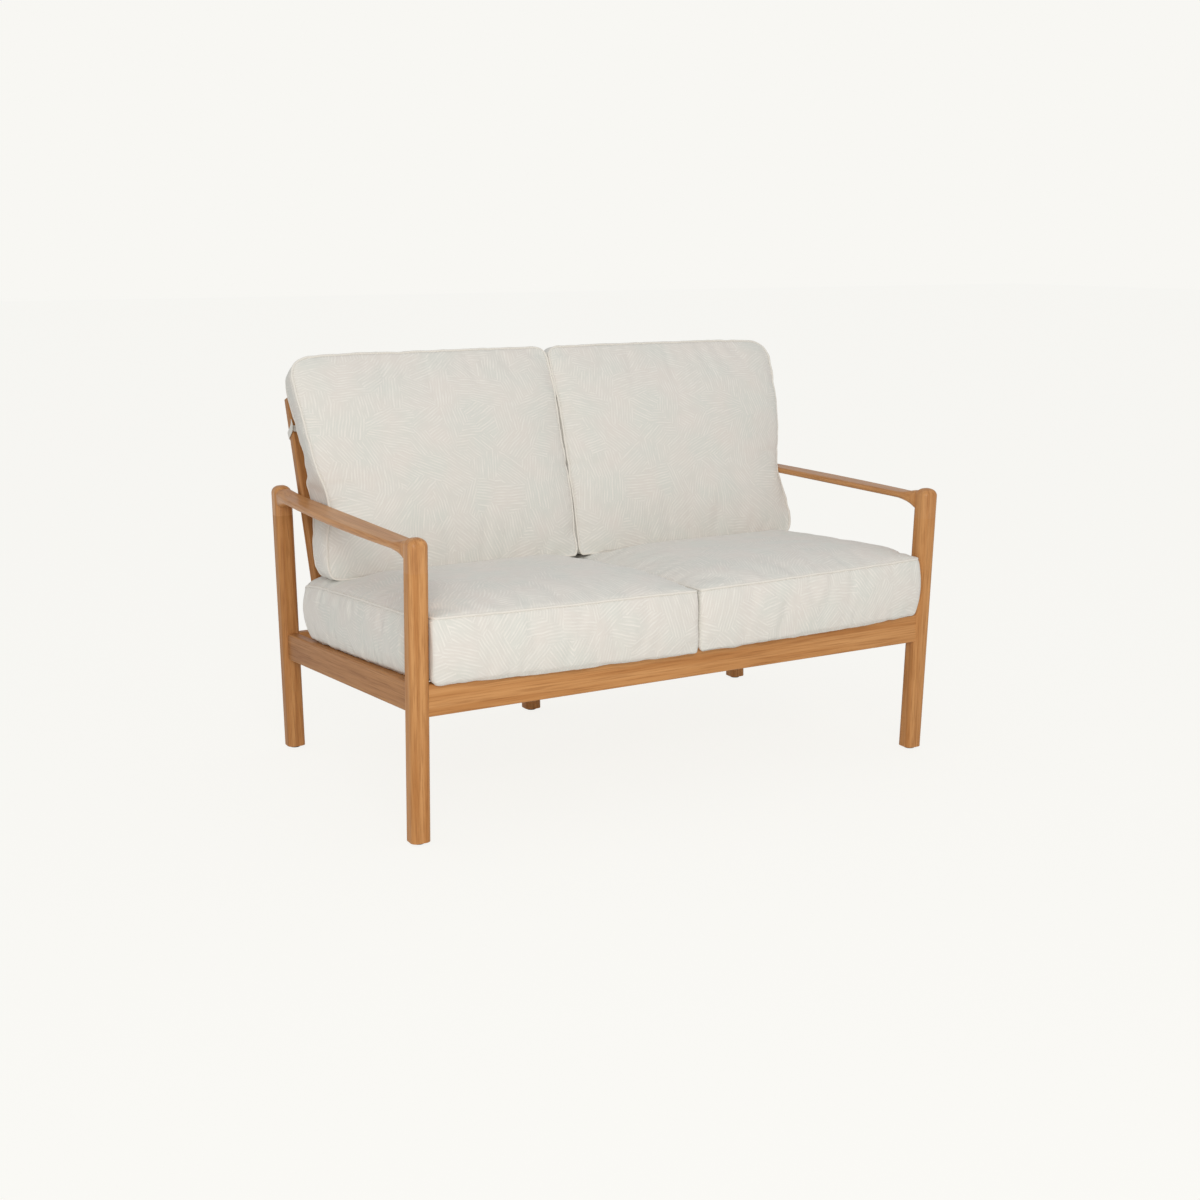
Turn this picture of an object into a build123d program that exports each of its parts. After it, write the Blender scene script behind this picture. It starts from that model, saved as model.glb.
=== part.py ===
from build123d import *
import os
from math import cos, radians, sin, sqrt, tan

os.makedirs("parts", exist_ok=True)

# A two-seat patio loveseat: a welded aluminium frame with cast arms, and four loose cushions.
# X runs to the sitter's left, Y to the rear and Z up, from the middle of the footprint on the floor.

# Legs: square tube with soft corners. The front ones lean forwards and the rear ones back.
leg_section = 41.5
leg_corner = 13
leg_wall = 2
leg_spacing = 1252
leg_depth = 724
leg_lean = 2

# Feet: a glide with a stem, screwed into a plug in the end of each leg
glide_height = 5
glide_radius = 12.5
glide_edge = 1
stem_radius = 4
stem_height = 24
plug_height = 20
fit_gap = 0.2

# Arms: a cast plank with a down-turned knuckle at each end, which plugs into the leg
knuckle_top = 617
knuckle_height = 67
knuckle_round = 17
arm_top = 601
arm_thick = 14
arm_lap = 5.25
arm_bow = 13.25
arm_bank = 2.1
front_flare = 60
rear_flare = 95
flare_drop = 20
flare_rise = 10
tenon_length = 30
neck_tuck = 2

# Seat frame: rails between the legs, a beam and slats under the cushions, all to one sloping deck
deck_height = 330
deck_slope = 4.4
rail_height = 62
rail_thick = 24
rail_corner = 4
rail_wall = 2
side_rail_inset = 10
front_rail_drop = 2
front_rail_height = 66
front_rail_inset = 4
beam_height = 30
slat_count = 6
slat_width = 45
slat_thick = 12
slat_corner = 3
slat_wall = 1.5
stile_rail_width = 34
stile_rail_height = 24

# Back frame: three raked stiles that carry slats
rake = 18.6
stile_top = 816
stile_set_back = 4
stile_width = 24
stile_depth = 28
stile_tip_depth = 25
stile_corner = 5
stile_arm_gap = 0.8
centre_stile_depth = 16
back_slat_width = 34
back_slat_count = 4
back_slat_foot = 80
top_rail_width = 40
top_rail_drop = 108

# Cushions: boxed covers over a fibre wrap, with a foam slab inside
cushion_gap = 1.5
rest_gap = 0.3
side_gap = 0.5
seat_overhang = 56
seat_seam = 126
seat_seam_rise = 7
seat_crown = 16
seat_corner = 18
seat_bulge = 4
edge_round = 14
back_clear = 147.5
back_seam = 155
back_belly = 14
back_crown = 20
back_corner = 60
back_bulge = 5
back_stand = 60
back_tuck = 52.3
back_flare = 24
foam_margin = 36
foam_gap = 0.3
strap_width = 16
strap_thick = 2
strap_gap = 0.6
strap_drop = 80
strap_tilt = 28

# Values that follow from the sizes above
cut_margin = leg_section
lean_slope = tan(radians(leg_lean))
slope = tan(radians(deck_slope))
deck_cos = cos(radians(deck_slope))
deck_sin = sin(radians(deck_slope))
rake_cos = cos(radians(rake))
rake_sin = sin(radians(rake))
stile_thinning = (stile_depth - stile_tip_depth) / rake_cos
tip_reach = (stile_top - knuckle_top) * tan(radians(rake)) - stile_set_back - stile_thinning
front_foot_y = seat_overhang - (seat_overhang + leg_depth + tip_reach) / 2
rear_foot_y = front_foot_y + leg_depth
middle_y = front_foot_y + leg_depth / 2
leg_x = leg_spacing / 2
leg_inner = leg_x - leg_section / 2
leg_outer = leg_x + leg_section / 2
leg_top = knuckle_top - knuckle_height
arm_inner = leg_inner - arm_lap
arm_outer = leg_outer + arm_bow
side_rail_x = leg_outer - side_rail_inset - rail_thick / 2
side_rail_inner = side_rail_x - rail_thick / 2
front_rail_low = deck_height - front_rail_drop - front_rail_height
front_rail_y = (
    front_foot_y
    - lean_slope * front_rail_low
    - leg_section / 2
    + front_rail_inset
    + rail_thick / 2
)
seat_front_y = front_foot_y - seat_overhang


def deck_z(y):
    """Height of the sloping seat deck at a place from front to rear"""
    return deck_height - slope * (y - front_foot_y)


def deck_across(y):
    """A plane across the seat: local X runs down the deck to the rear, local Y stands on the deck"""
    return Plane(origin=(0, y, deck_z(y)), x_dir=(0, deck_cos, -deck_sin), z_dir=(1, 0, 0))


def leaning_bar(place, lean, low, high, size, corner):
    """A square bar with soft corners and level ends, which leans front to rear"""
    x, foot_y = place
    run = lean * lean_slope
    with BuildPart() as bar:
        with BuildSketch(Plane(origin=(x, foot_y + run * low, low))):
            RectangleRounded(size, size, corner)
        extrude(amount=(high - low) * sqrt(1 + run * run), dir=(0, run, 1))
    return bar.part


def sloping_bar(x, front_y, rear_y, top_drop, height, width, corner):
    """A bar that runs down the deck's slope, with upright ends"""
    with BuildPart() as bar:
        with BuildSketch(Plane.YZ.offset(x)):
            with BuildLine():
                Polyline(
                    (front_y, deck_z(front_y) - top_drop),
                    (rear_y, deck_z(rear_y) - top_drop),
                    (rear_y, deck_z(rear_y) - top_drop - height),
                    (front_y, deck_z(front_y) - top_drop - height),
                    close=True,
                )
            make_face()
        extrude(amount=width / 2, both=True)
        fillet(bar.edges().filter_by(Axis((0, 0, 0), (0, deck_cos, -deck_sin))), corner)
    return bar.part


def hand_in(name, piece):
    """Label a finished piece and write it"""
    piece.part.label = name
    export_step(piece.part, f"parts/{name}.step")


def hand_in_pair(name, right_piece):
    """Write a right-hand piece and its mirror image"""
    with BuildPart() as left_piece:
        mirror(right_piece.part, about=Plane.YZ)
    hand_in(name + "_right", right_piece)
    hand_in(name + "_left", left_piece)


# Legs. A leaning tube from its glide to the arm's knuckle
places = {"front": (front_foot_y, -1), "rear": (rear_foot_y, 1)}
leg_bars = {}
for end, (foot_y, lean) in places.items():
    leg_bars[end] = leaning_bar((leg_x, foot_y), lean, glide_height, knuckle_top, leg_section, leg_corner)
    tube = leaning_bar((leg_x, foot_y), lean, glide_height, leg_top, leg_section, leg_corner)
    bore_size = leg_section - 2 * leg_wall
    bore = leaning_bar((leg_x, foot_y), lean, glide_height, leg_top, bore_size, leg_corner - leg_wall)
    with BuildPart() as leg:
        add(tube)
        add(bore, mode=Mode.SUBTRACT)
    hand_in_pair(f"{end}_leg", leg)

# Rear rail and the short leg under its middle
rear_rail_y = rear_foot_y + lean_slope * (deck_z(rear_foot_y) - rail_height / 2)
rear_rail_top = deck_z(rear_rail_y + rail_thick / 2)
rear_rail_low = rear_rail_top - rail_height
centre_place = (0, rear_foot_y)
centre_tube = leaning_bar(centre_place, 1, glide_height, rear_rail_low, leg_section, leg_corner)
centre_bore = leaning_bar(
    centre_place, 1, glide_height, rear_rail_low - leg_wall, bore_size, leg_corner - leg_wall
)
with BuildPart() as centre_leg:
    add(centre_tube)
    add(centre_bore, mode=Mode.SUBTRACT)
hand_in("centre_leg", centre_leg)

# Glides and plugs under all five legs
feet = {
    "front_left": (-leg_x, front_foot_y, -1),
    "front_right": (leg_x, front_foot_y, -1),
    "rear_left": (-leg_x, rear_foot_y, 1),
    "rear_right": (leg_x, rear_foot_y, 1),
    "centre": (0, rear_foot_y, 1),
}
plug_size = bore_size - 2 * fit_gap
plug_corner = leg_corner - leg_wall - fit_gap
for name, (x, y, lean) in feet.items():
    with BuildPart() as glide:
        with BuildSketch(Plane(origin=(x, y, 0))):
            Circle(glide_radius)
        extrude(amount=glide_height)
        chamfer(glide.edges().group_by(Axis.Z)[0], glide_edge)
        with BuildSketch(Plane(origin=(x, y, glide_height))):
            Circle(stem_radius)
        extrude(amount=stem_height)
    hand_in(f"glide_{name}", glide)
    plug_body = leaning_bar((x, y), lean, glide_height, glide_height + plug_height, plug_size, plug_corner)
    with BuildPart() as plug:
        add(plug_body)
        with Locations((x, y, glide_height + plug_height / 2)):
            Hole(stem_radius + fit_gap / 2)
    hand_in(f"leg_plug_{name}", plug)


# Arms. The plank is lofted through upright sections, with its outer edge bowed out in the middle.
# At each end a neck thickens, rises and narrows into the knuckle. Each row gives the shares of the
# flare's length, rise, drop and inner draw at one section, counted from the leg's face.
neck_shares = (
    (1, 0, 0, 0),
    (0.75, 0.07, 0.05, 0.05),
    (0.5, 0.3, 0.2, 0.2),
    (0.25, 0.67, 0.5, 0.5),
    (0, 0.95, 0.9, 0.9),
    (-0.25, 1, 1.1, 1.3),
)
plank_shares = (0, 0.25, 0.5, 0.75, 1)
arm_corner_share = 0.43
knuckle_turns = (0, 22.5, 45, 67.5, 90)
arm_half = leg_depth / 2 + lean_slope * arm_top - leg_section / 2
arm_front = front_flare - arm_half
arm_rear = arm_half - rear_flare


def arm_section(along, rise, drop, draw):
    """One upright section of the plank, at a distance from the middle of the arm"""
    inner = arm_inner + (leg_inner - arm_inner) * draw
    outer = arm_outer - arm_bow * (along / arm_half) ** 2 - neck_tuck * draw
    height = arm_thick + flare_rise * rise + flare_drop * drop
    middle = arm_top - arm_thick / 2 + (flare_rise * rise - flare_drop * drop) / 2
    centre = ((inner + outer) / 2, middle_y + along, middle)
    banked = (cos(radians(arm_bank)), 0, -sin(radians(arm_bank)))
    with BuildSketch(Plane(origin=centre, x_dir=banked, z_dir=(0, 1, 0))) as section:
        RectangleRounded(outer - inner, height, min(leg_corner, arm_corner_share * height))
    return section.sketch


knuckles = []
for foot_y, lean in places.values():
    run = lean * lean_slope
    dome_low = knuckle_top - knuckle_round
    column = leaning_bar((leg_x, foot_y), lean, leg_top, dome_low, leg_section, leg_corner)
    tenon = leaning_bar((leg_x, foot_y), lean, leg_top - tenon_length, leg_top, plug_size, plug_corner)
    with BuildPart() as dome:
        for turn in knuckle_turns:
            z = dome_low + knuckle_round * sin(radians(turn))
            size = leg_section - 2 * knuckle_round * (1 - cos(radians(turn)))
            with BuildSketch(Plane(origin=(leg_x, foot_y + run * z, z))):
                RectangleRounded(size, size, leg_corner * size / leg_section)
        loft()
    knuckles += [column, tenon, dome.part]

with BuildPart() as arm:
    loft([arm_section(arm_front + (arm_rear - arm_front) * share, 0, 0, 0) for share in plank_shares])
    for end, flare_length in ((-1, front_flare), (1, rear_flare)):
        loft([arm_section(end * (arm_half - row[0] * flare_length), *row[1:]) for row in neck_shares])
    add(knuckles)
hand_in_pair("arm", arm)

# Side rails. Hollow sections that slope with the deck, coped to the legs
with BuildPart() as side_rail:
    rail_ends = (front_foot_y - lean_slope * deck_height, rear_foot_y + lean_slope * deck_height)
    add(sloping_bar(side_rail_x, *rail_ends, 0, rail_height, rail_thick, rail_corner))
    rail_hollow = rail_height - 2 * rail_wall
    add(
        sloping_bar(
            side_rail_x,
            *rail_ends,
            rail_wall,
            rail_hollow,
            rail_thick - 2 * rail_wall,
            rail_corner - rail_wall,
        ),
        mode=Mode.SUBTRACT,
    )
    add(leg_bars.values(), mode=Mode.SUBTRACT)
hand_in_pair("side_rail", side_rail)


# Front and rear rails. Level hollow sections between the legs, coped to them
def cross_rail(y, low, height, bars):
    """A level rail from leg to leg"""
    with BuildPart() as rail:
        with BuildSketch(Plane.YZ):
            with Locations((y, low + height / 2)):
                RectangleRounded(rail_thick, height, rail_corner)
                RectangleRounded(
                    rail_thick - 2 * rail_wall,
                    height - 2 * rail_wall,
                    rail_corner - rail_wall,
                    mode=Mode.SUBTRACT,
                )
        extrude(amount=leg_x, both=True)
        add(bars, mode=Mode.SUBTRACT)
    return rail


with BuildPart() as front_leg_bars:
    add(leg_bars["front"])
    mirror(about=Plane.YZ)
with BuildPart() as rear_leg_bars:
    add(leg_bars["rear"])
    mirror(about=Plane.YZ)
front_rail = cross_rail(front_rail_y, front_rail_low, front_rail_height, front_leg_bars.part)
rear_rail = cross_rail(rear_rail_y, rear_rail_low, rail_height, rear_leg_bars.part)
hand_in("front_rail", front_rail)
hand_in("rear_rail", rear_rail)

# Centre beam. It carries the slats along the middle, from the front rail to the rear rail
beam_ends = (front_rail_y + rail_thick / 2, rear_rail_y - rail_thick / 2)
beam_drop = slat_thick / deck_cos
with BuildPart() as centre_beam:
    add(sloping_bar(0, *beam_ends, beam_drop, beam_height, rail_thick, rail_corner))
    add(
        sloping_bar(
            0,
            *beam_ends,
            beam_drop + rail_wall,
            beam_height - 2 * rail_wall,
            rail_thick - 2 * rail_wall,
            rail_corner - rail_wall,
        ),
        mode=Mode.SUBTRACT,
    )
hand_in("centre_beam", centre_beam)

# Back plane: the front faces of the stiles. Local Y climbs the rake and local Z points forwards
stile_rear_run = stile_depth / rake_cos
back_origin = (0, rear_foot_y - stile_set_back - stile_rear_run, knuckle_top)
back_plane = Plane(origin=back_origin, x_dir=(1, 0, 0), z_dir=(0, -rake_cos, rake_sin))


def back_section(climb, forward=0):
    """A plane across the back: local X runs across and local Y forwards from the stiles' faces"""
    spot = back_plane.from_local_coords((0, climb, forward))
    return Plane(origin=spot, x_dir=(1, 0, 0), z_dir=-back_plane.y_dir)


def stile_foot(drop):
    """How far below the back plane's origin the stiles' front faces meet a plane under the deck"""
    fall = back_origin[2] - deck_z(back_origin[1]) + drop
    return fall / (rake_cos + slope * rake_sin)


# Slats across the seat, spaced evenly from the front rail to the stiles' rail
stile_foot_y = back_origin[1] - stile_foot(0) * rake_sin
stile_rail_y = stile_foot_y + stile_depth / rake_cos / 2
slat_first = beam_ends[0]
slat_room = stile_rail_y - stile_rail_width / 2 - slat_first
slat_pitch = (slat_room + slat_width) / (slat_count + 1)
for number in range(1, slat_count + 1):
    slat_y = slat_first + number * slat_pitch - slat_width / 2
    with BuildPart() as seat_slat:
        with BuildSketch(deck_across(slat_y)):
            with Locations((0, -slat_thick / 2)):
                RectangleRounded(slat_width, slat_thick, slat_corner)
                RectangleRounded(
                    slat_width - 2 * slat_wall,
                    slat_thick - 2 * slat_wall,
                    slat_corner - slat_wall,
                    mode=Mode.SUBTRACT,
                )
        extrude(amount=side_rail_inner, both=True)
    hand_in(f"seat_slat_{number}", seat_slat)

# Stile rails: from the centre beam to each side rail, under the feet of the outer stiles
with BuildPart() as stile_rail:
    rail_start = deck_across(stile_rail_y)
    rail_start.origin = rail_start.origin + Vector(rail_thick / 2, 0, 0)
    with BuildSketch(rail_start):
        with Locations((0, -stile_rail_height / 2)):
            RectangleRounded(stile_rail_width, stile_rail_height, rail_corner)
            RectangleRounded(
                stile_rail_width - 2 * rail_wall,
                stile_rail_height - 2 * rail_wall,
                rail_corner - rail_wall,
                mode=Mode.SUBTRACT,
            )
    extrude(amount=side_rail_inner - rail_thick / 2)
hand_in_pair("stile_rail", stile_rail)


# Stiles: tapered tubes that stand on the seat frame and lean back past the arms
def stile(x, face, foot_depth, tip_depth, foot_drop, tip_climb):
    """A raked stile, tapered to its tip, with its foot cut to the deck's slope"""
    foot_climb = -stile_foot(foot_drop) - cut_margin
    with BuildPart() as bar:
        for climb, depth in ((foot_climb, foot_depth), (tip_climb, tip_depth)):
            with BuildSketch(back_section(climb, face - depth / 2)):
                with Locations((x, 0)):
                    RectangleRounded(stile_width, depth, stile_corner)
        loft(ruled=True)
        fillet(bar.faces().sort_by(Axis.Z)[-1].edges(), stile_corner / 2)
    with BuildPart() as hollow:
        for climb, depth in ((foot_climb, foot_depth), (tip_climb - stile_corner, tip_depth)):
            with BuildSketch(back_section(climb, face - depth / 2)):
                with Locations((x, 0)):
                    RectangleRounded(
                        stile_width - 2 * rail_wall, depth - 2 * rail_wall, stile_corner - rail_wall
                    )
        loft(ruled=True)
    foot_y = back_origin[1]
    foot_cut = Plane(
        origin=(0, foot_y, deck_z(foot_y) - foot_drop), x_dir=(1, 0, 0), z_dir=(0, deck_sin, deck_cos)
    )
    with BuildPart() as cut_stile:
        add(bar.part)
        add(hollow.part, mode=Mode.SUBTRACT)
        split(bisect_by=foot_cut, keep=Keep.TOP)
    return cut_stile


tip_climb = (stile_top - knuckle_top) / rake_cos
stile_x = arm_inner - stile_arm_gap - stile_width / 2
end_stile = stile(stile_x, 0, stile_depth, stile_tip_depth, 0, tip_climb)
hand_in_pair("stile", end_stile)
centre_top = tip_climb - top_rail_drop
centre_stile = stile(0, -slat_thick, centre_stile_depth, centre_stile_depth, beam_drop, centre_top)
hand_in("stile_centre", centre_stile)


# Back slats and the top rail: across the back, between the end stiles
def back_bar(climb, width):
    """A hollow bar across the back, with its front face in the stiles' plane"""
    with BuildPart() as bar:
        middle = back_plane.from_local_coords((0, climb, -slat_thick / 2))
        with BuildSketch(Plane(origin=middle, x_dir=back_plane.y_dir, z_dir=(1, 0, 0))):
            RectangleRounded(width, slat_thick, slat_corner)
            RectangleRounded(
                width - 2 * slat_wall,
                slat_thick - 2 * slat_wall,
                slat_corner - slat_wall,
                mode=Mode.SUBTRACT,
            )
        extrude(amount=stile_x - stile_width / 2, both=True)
    return bar


top_rail_climb = centre_top - top_rail_width / 2
back_slat_pitch = (top_rail_climb + stile_foot(0) - back_slat_foot) / back_slat_count
back_top_rail = back_bar(top_rail_climb, top_rail_width)
hand_in("back_top_rail", back_top_rail)
for number in range(1, back_slat_count + 1):
    back_slat = back_bar(top_rail_climb - number * back_slat_pitch, back_slat_width)
    hand_in(f"back_slat_{number}", back_slat)


# Cushions. Each cover is lofted through sections of one line and five arcs: a flat side that rests
# on the frame, rounded lower corners, boxed sides that swell, a seam, and a crowned face.
def cushion_section(plane, left, right, low, seam, crown, bulge, corner):
    """One section of a cushion"""
    arc = corner * (1 - cos(radians(45)))
    middle = (low + corner + seam) / 2
    with BuildSketch(plane) as section:
        with BuildLine():
            Line((left + corner, low), (right - corner, low))
            ThreePointArc((right - corner, low), (right - arc, low + arc), (right - bulge, low + corner))
            ThreePointArc((right - bulge, low + corner), (right, middle), (right - bulge, seam))
            ThreePointArc((right - bulge, seam), ((left + right) / 2, seam + crown), (left + bulge, seam))
            ThreePointArc((left + bulge, seam), (left, middle), (left + bulge, low + corner))
            ThreePointArc((left + bulge, low + corner), (left + arc, low + arc), (left + corner, low))
        make_face()
    return section.sketch


# Seat cushions: each lies on the deck from the front rail's overhang back to the stiles. The front
# edge, the body and the rear edge are three lofts. Each row gives the shares of the length, the
# edge round and the crown at one section.
seat_loft_shares = (
    ((0, 1, 0.2), (0.008, 0.32, 0.28), (0.03, 0, 0.4)),
    ((0.03, 0, 0.4), (0.265, 0, 0.9), (0.5, 0, 1), (0.735, 0, 0.9), (0.97, 0, 0.35)),
    ((0.97, 0, 0.35), (0.992, 0.32, 0.28), (1, 1, 0.2)),
)
seat_left = cushion_gap / 2
seat_right = leg_inner - side_gap
seat_rear_y = stile_foot_y - side_gap
seat_length = seat_rear_y - seat_front_y


def seat_section(along, draw, swell):
    """A section across the seat cushion, leaning more the nearer it is to the stiles"""
    lean = rake * along
    y = seat_front_y + seat_length * along
    inset = edge_round * draw
    up = (0, -cos(radians(lean)), sin(radians(lean)))
    return cushion_section(
        Plane(origin=(0, y, deck_z(y) + rest_gap), x_dir=(1, 0, 0), z_dir=up),
        seat_left + inset,
        seat_right - inset,
        inset,
        seat_seam + seat_seam_rise * swell - inset,
        seat_crown * swell,
        seat_bulge,
        seat_corner,
    )


with BuildPart() as seat_loft:
    for rows in seat_loft_shares:
        loft([seat_section(*row) for row in rows])

seat_slab_plane = Plane(
    origin=(0, seat_front_y, deck_z(seat_front_y)), x_dir=(1, 0, 0), z_dir=(0, deck_sin, deck_cos)
)


def seat_slab(gap):
    """The block that the seat foam fills, grown by a gap"""
    with BuildPart() as slab:
        with BuildSketch(seat_slab_plane.offset(foam_margin / 2 - gap)):
            with Locations(((seat_left + seat_right) / 2, seat_length / 2)):
                Rectangle(
                    seat_right - seat_left - 2 * foam_margin + 2 * gap,
                    seat_length - 2 * foam_margin + 2 * gap,
                )
        extrude(amount=seat_seam - foam_margin + 2 * gap)
    return slab


seat_foam = seat_slab(0)
seat_room = seat_slab(foam_gap)
with BuildPart() as seat_shell:
    add(seat_loft.part)
    add(seat_room.part, mode=Mode.SUBTRACT)
hand_in_pair("seat_cover", seat_shell)
hand_in_pair("seat_foam", seat_foam)

# Back cushions: each leans on the back slats and stands on the seat cushion. The loft between the
# arms is narrow, the one above them flares out, and the last one rounds the top edge. Each row
# gives the shares of the height, edge round, flare and crown at one section.
back_loft_shares = (
    ((0, 0, 0, 0.35), (0.23, 0, 0, 0.8), (0.46, 0, 0, 1)),
    ((0.46, 0, 0, 1), (0.62, 0, 0.7, 0.95), (0.78, 0, 1, 0.75), (0.94, 0, 0.95, 0.45)),
    ((0.94, 0, 0.95, 0.45), (0.985, 0.32, 0.85, 0.32), (1, 1, 0.75, 0.2)),
)
back_right = arm_inner - side_gap
back_high = tip_climb + back_stand
back_low = stile_foot(-back_clear) + back_tuck
back_length = back_low + back_high


def back_cushion_section(along, draw, flare, swell):
    """A section across the back cushion, square to the rake"""
    inset = edge_round * draw
    belly = back_belly * 4 * along * (1 - along)
    return cushion_section(
        back_section(along * back_length - back_low, rest_gap),
        seat_left + inset,
        back_right + back_flare * flare - inset,
        inset,
        back_seam + belly - inset,
        back_crown * swell,
        back_bulge,
        back_corner,
    )


with BuildPart() as back_loft:
    for rows in back_loft_shares:
        loft([back_cushion_section(*row) for row in rows])

back_rest_y = back_origin[1]
back_rest = Plane(
    origin=(0, back_rest_y, deck_z(back_rest_y) + back_clear / deck_cos),
    x_dir=(1, 0, 0),
    z_dir=(0, deck_sin, deck_cos),
)


def back_slab(gap):
    """The block that the back foam fills, grown by a gap"""
    low = back_length / 2 - back_low + foam_margin / 2
    with BuildPart() as slab:
        with BuildSketch(back_plane.offset(foam_margin / 2 - gap)):
            with Locations(((seat_left + back_right) / 2, low)):
                Rectangle(
                    back_right - seat_left - 2 * foam_margin + 2 * gap,
                    back_length - 4 * foam_margin + 2 * gap,
                )
        extrude(amount=back_seam - foam_margin + 2 * gap)
    return slab


back_foam = back_slab(0)
back_room = back_slab(foam_gap)
with BuildPart() as back_shell:
    add(back_loft.part)
    split(bisect_by=back_rest, keep=Keep.TOP)
    add(back_room.part, mode=Mode.SUBTRACT)
hand_in_pair("back_cover", back_shell)
hand_in_pair("back_foam", back_foam)

# Tie straps: a slanting loop of webbing round each end stile, sewn to the back cushion
strap_inner_width = stile_width + 2 * strap_gap
strap_inner_depth = stile_depth + 2 * strap_gap
strap_half = strap_width / 2
strap_place = tip_climb - strap_drop
strap_spread = strap_half + strap_inner_depth * tan(radians(strap_tilt))
with BuildPart() as tie_strap:
    with BuildSketch(back_section(strap_place, -stile_depth / 2)):
        with Locations((stile_x, 0)):
            RectangleRounded(
                strap_inner_width + 2 * strap_thick,
                strap_inner_depth + 2 * strap_thick,
                stile_corner + strap_thick,
            )
            RectangleRounded(strap_inner_width, strap_inner_depth, stile_corner, mode=Mode.SUBTRACT)
    extrude(amount=strap_spread, both=True)
    strap_middle = back_plane.from_local_coords((0, strap_place, -stile_depth / 2))
    tilt = radians(rake + strap_tilt)
    strap_axis = Vector(0, sin(tilt), cos(tilt))
    upper_cut = Plane(origin=strap_middle + strap_axis * strap_half, x_dir=(1, 0, 0), z_dir=strap_axis)
    lower_cut = Plane(origin=strap_middle - strap_axis * strap_half, x_dir=(1, 0, 0), z_dir=strap_axis)
    split(bisect_by=upper_cut, keep=Keep.BOTTOM)
    split(bisect_by=lower_cut, keep=Keep.TOP)
hand_in_pair("tie_strap", tie_strap)
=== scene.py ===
import math

import bmesh
import bpy
import numpy as np
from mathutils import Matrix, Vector, noise


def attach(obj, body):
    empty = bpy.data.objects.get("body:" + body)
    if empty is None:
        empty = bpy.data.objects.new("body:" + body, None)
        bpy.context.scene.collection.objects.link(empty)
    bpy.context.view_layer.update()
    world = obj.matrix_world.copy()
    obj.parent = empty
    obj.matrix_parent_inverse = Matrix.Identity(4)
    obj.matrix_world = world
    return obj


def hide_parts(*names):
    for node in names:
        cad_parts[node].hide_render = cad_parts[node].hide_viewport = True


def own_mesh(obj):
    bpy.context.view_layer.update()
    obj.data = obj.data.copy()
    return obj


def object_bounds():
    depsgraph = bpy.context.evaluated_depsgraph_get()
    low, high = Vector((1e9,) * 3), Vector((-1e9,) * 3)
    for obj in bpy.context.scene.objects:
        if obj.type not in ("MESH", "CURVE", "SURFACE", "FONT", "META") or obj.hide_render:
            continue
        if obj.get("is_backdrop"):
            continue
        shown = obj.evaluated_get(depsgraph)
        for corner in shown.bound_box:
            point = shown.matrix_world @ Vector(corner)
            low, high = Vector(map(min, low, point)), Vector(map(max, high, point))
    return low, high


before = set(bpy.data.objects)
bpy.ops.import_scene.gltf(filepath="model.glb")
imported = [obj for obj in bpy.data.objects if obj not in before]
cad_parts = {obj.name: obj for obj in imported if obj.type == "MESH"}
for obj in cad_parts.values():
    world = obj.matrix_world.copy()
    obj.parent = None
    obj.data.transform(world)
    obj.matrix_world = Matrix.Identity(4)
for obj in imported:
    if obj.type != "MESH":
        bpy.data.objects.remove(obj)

drawn_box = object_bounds()

# Camera. It stands a little above seated eye height, to the left of the loveseat, and looks down on
# it by 12.5 degrees with a 49 mm lens.
bpy.ops.object.camera_add(
    location=(-1.81848, -3.17139, 1.16668),
    rotation=(math.radians(77.451), 0, math.radians(-29.773)),
)
camera = bpy.context.object
camera.data.lens = 48.64
bpy.context.scene.camera = camera

# Studio. A seamless pale floor and wall, a broad soft lamp in front, above the camera, and even
# light from all round. The floor is nearly white paper, and keeps a faint shadow of the legs.
bpy.context.scene.view_settings.view_transform = "Standard"


def paint(code):
    """The linear colour of an sRGB hex value"""
    shares = [int(code[place : place + 2], 16) / 255 for place in (1, 3, 5)]
    return [s / 12.92 if s <= 0.04045 else ((s + 0.055) / 1.055) ** 2.4 for s in shares] + [1]


def add_node(material, kind, inputs, **settings):
    """Add a node with its settings, and give its inputs their values or links"""
    made = material.node_tree.nodes.new("ShaderNode" + kind)
    for name, value in settings.items():
        setattr(made, name, value)
    for name, value in inputs.items():
        if isinstance(value, bpy.types.NodeSocket):
            material.node_tree.links.new(value, made.inputs[name])
        else:
            made.inputs[name].default_value = value
    return made


paper = bpy.data.materials.new("matt_paper_sweep")
paper.use_nodes = True
paper.node_tree.nodes.clear()
paper_ray = add_node(paper, "LightPath", {})
paper_matt = add_node(paper, "BsdfDiffuse", {"Color": paint("#F6F5F1")})
paper_glow = add_node(paper, "Emission", {"Color": paint("#F8F7F3"), "Strength": 1.03})
paper_seen = add_node(
    paper, "MixShader", {0: 0.9, 1: paper_matt.outputs[0], 2: paper_glow.outputs[0]}
)
paper_far = add_node(
    paper,
    "Math",
    {0: paper_ray.outputs["Is Camera Ray"], 1: paper_ray.outputs["Is Glossy Ray"]},
    operation="MAXIMUM",
)
paper_all = add_node(
    paper,
    "MixShader",
    {0: paper_far.outputs[0], 1: paper_matt.outputs[0], 2: paper_seen.outputs[0]},
)
add_node(paper, "OutputMaterial", {"Surface": paper_all.outputs[0]})
bpy.ops.mesh.primitive_plane_add(size=60)
floor = bpy.context.object
floor.name = "floor"
floor.data.materials.append(paper)
floor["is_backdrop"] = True

studio = bpy.data.worlds.new("studio")
bpy.context.scene.world = studio
studio.use_nodes = True
studio.node_tree.nodes.clear()
studio_ray = add_node(studio, "LightPath", {})
studio_seen = add_node(studio, "Background", {"Color": paint("#F8F7F3"), "Strength": 1})
studio_light = add_node(studio, "Background", {"Color": paint("#F5F7F9"), "Strength": 0.66})
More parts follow.
